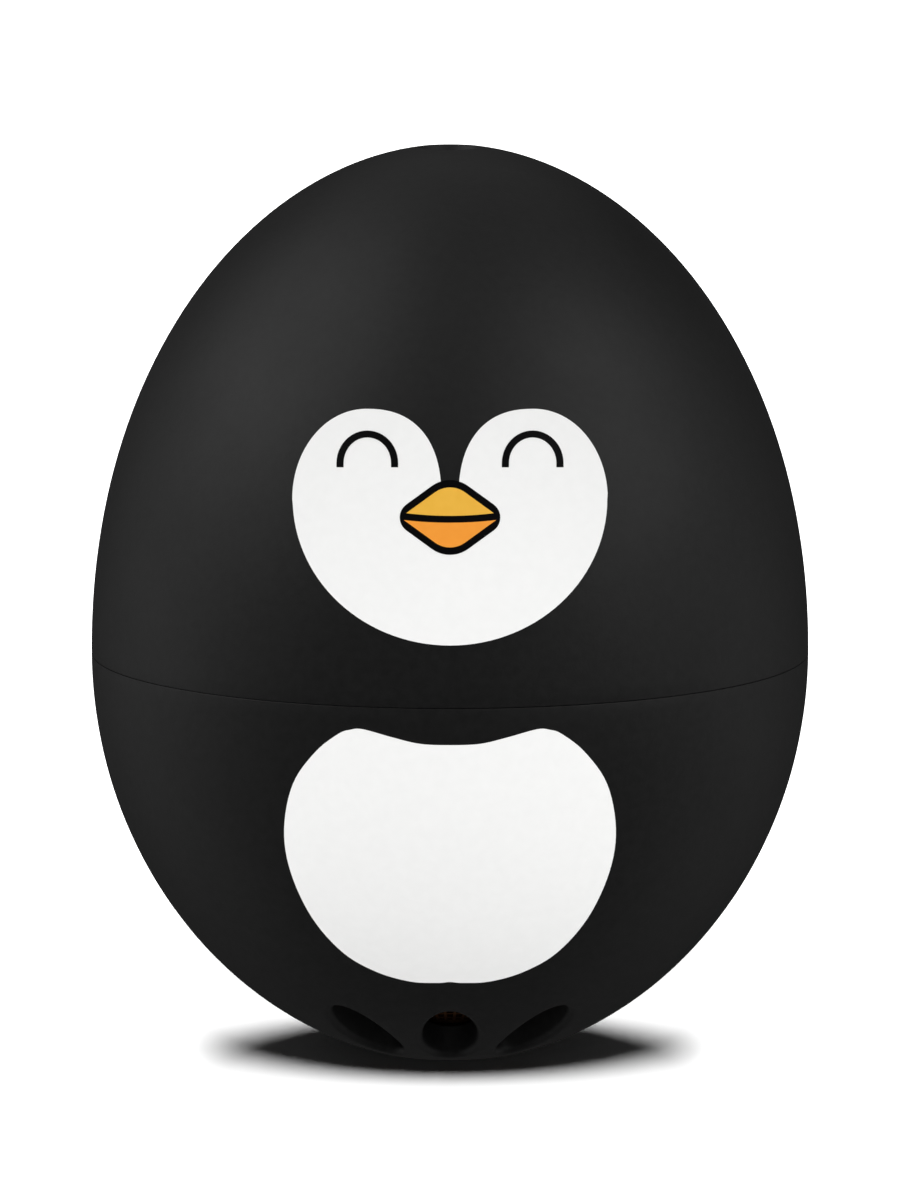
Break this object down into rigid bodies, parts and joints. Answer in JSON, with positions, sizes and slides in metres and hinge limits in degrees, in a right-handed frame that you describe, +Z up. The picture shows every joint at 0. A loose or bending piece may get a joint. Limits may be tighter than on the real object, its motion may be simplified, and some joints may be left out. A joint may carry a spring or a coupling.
{
  "type": "egg-shaped kitchen timer",
  "caption": "Egg-shaped timer that boils in the pot with the eggs: two screw-together shells over a sealed sounder, ballast weight, circuit board and coin cell, with sound ports round the foot.",
  "frame": {"origin": "centre of the flat foot that the egg stands on", "axes": "+Z up along the egg's axis, towards its pointed end; the front, with the printed face, looks along -Y"},
  "size_m": [0.045, 0.045, 0.0569],
  "materials": {
    "shell_plastic": "satin moulded, heat-proof polyamide, near black",
    "inner_plastic": "plain moulded, dark grey",
    "silicone": "matt silicone, grey",
    "bronze_gauze": "woven bronze wire, darkened by hot water",
    "sounder_brass": "rolled brass sheet",
    "piezo_ceramic": "silvered piezo ceramic",
    "stainless_steel": "drawn stainless steel",
    "weight_steel": "turned steel, zinc plated",
    "foam_rubber": "closed-cell foam rubber",
    "board_laminate": "glass-fibre laminate with green solder mask",
    "component_black": "moulded epoxy",
    "spring_steel": "nickel-plated spring steel",
    "cell_steel": "nickel-plated steel can",
    "screw_steel": "zinc-plated steel",
    "red_insulation": "red lead insulation",
    "black_insulation": "black lead insulation"
  },
  "bodies": {
    "base": {"lower_shell": "shell_plastic", "thread_ring": "inner_plastic", "bulkhead": "inner_plastic", "sounder_clamp": "inner_plastic", "tray": "inner_plastic", "cell_holder": "inner_plastic", "sounder_gasket": "silicone", "port_gauze": "bronze_gauze", "sounder_plate": "sounder_brass", "sounder_ceramic": "piezo_ceramic", "probe_tube": "stainless_steel", "ballast_weight": "weight_steel", "foam_pad": "foam_rubber", "circuit_board": "board_laminate", "melody_chip": "component_black", "timing_crystal": "stainless_steel", "booster_coil": "component_black", "smoothing_capacitor": "component_black", "resistor_1": "component_black", "resistor_2": "component_black", "thermistor_bead": "component_black", "positive_contact": "spring_steel", "negative_contact": "spring_steel", "sounder_lead_red": "red_insulation", "sounder_lead_black": "black_insulation", "thermistor_lead": "black_insulation", "clamp_screw_1": "screw_steel", "clamp_screw_2": "screw_steel", "clamp_screw_3": "screw_steel", "tray_screw_1": "screw_steel", "tray_screw_2": "screw_steel", "tray_screw_3": "screw_steel", "board_screw_1": "screw_steel", "board_screw_2": "screw_steel", "board_screw_3": "screw_steel"},
    "seal": {"seal_ring": "silicone"},
    "upper": {"upper_shell": "shell_plastic"},
    "cell": {"cell_can": "cell_steel", "cell_cap": "cell_steel", "cell_grommet": "component_black"}
  },
  "joints": [
    {"name": "upper_lift", "type": "slide", "parent": "base", "child": "seal", "axis": [0, 0, 1], "range_m": [0, 0.0361]},
    {"name": "upper_turn", "type": "hinge", "parent": "seal", "child": "upper", "pos_m": [0, 0, 0.0252], "axis": [0, 0, 1], "range_deg": [0, 1080]},
    {"name": "cell_slide", "type": "slide", "parent": "base", "child": "cell", "axis": [0, 1, 0], "range_m": [0, 0.0088]}
  ],
  "couplings": [
    {"joint": "upper_lift", "follows": "upper_turn", "m_per_rad": 0.0019099}
  ]
}
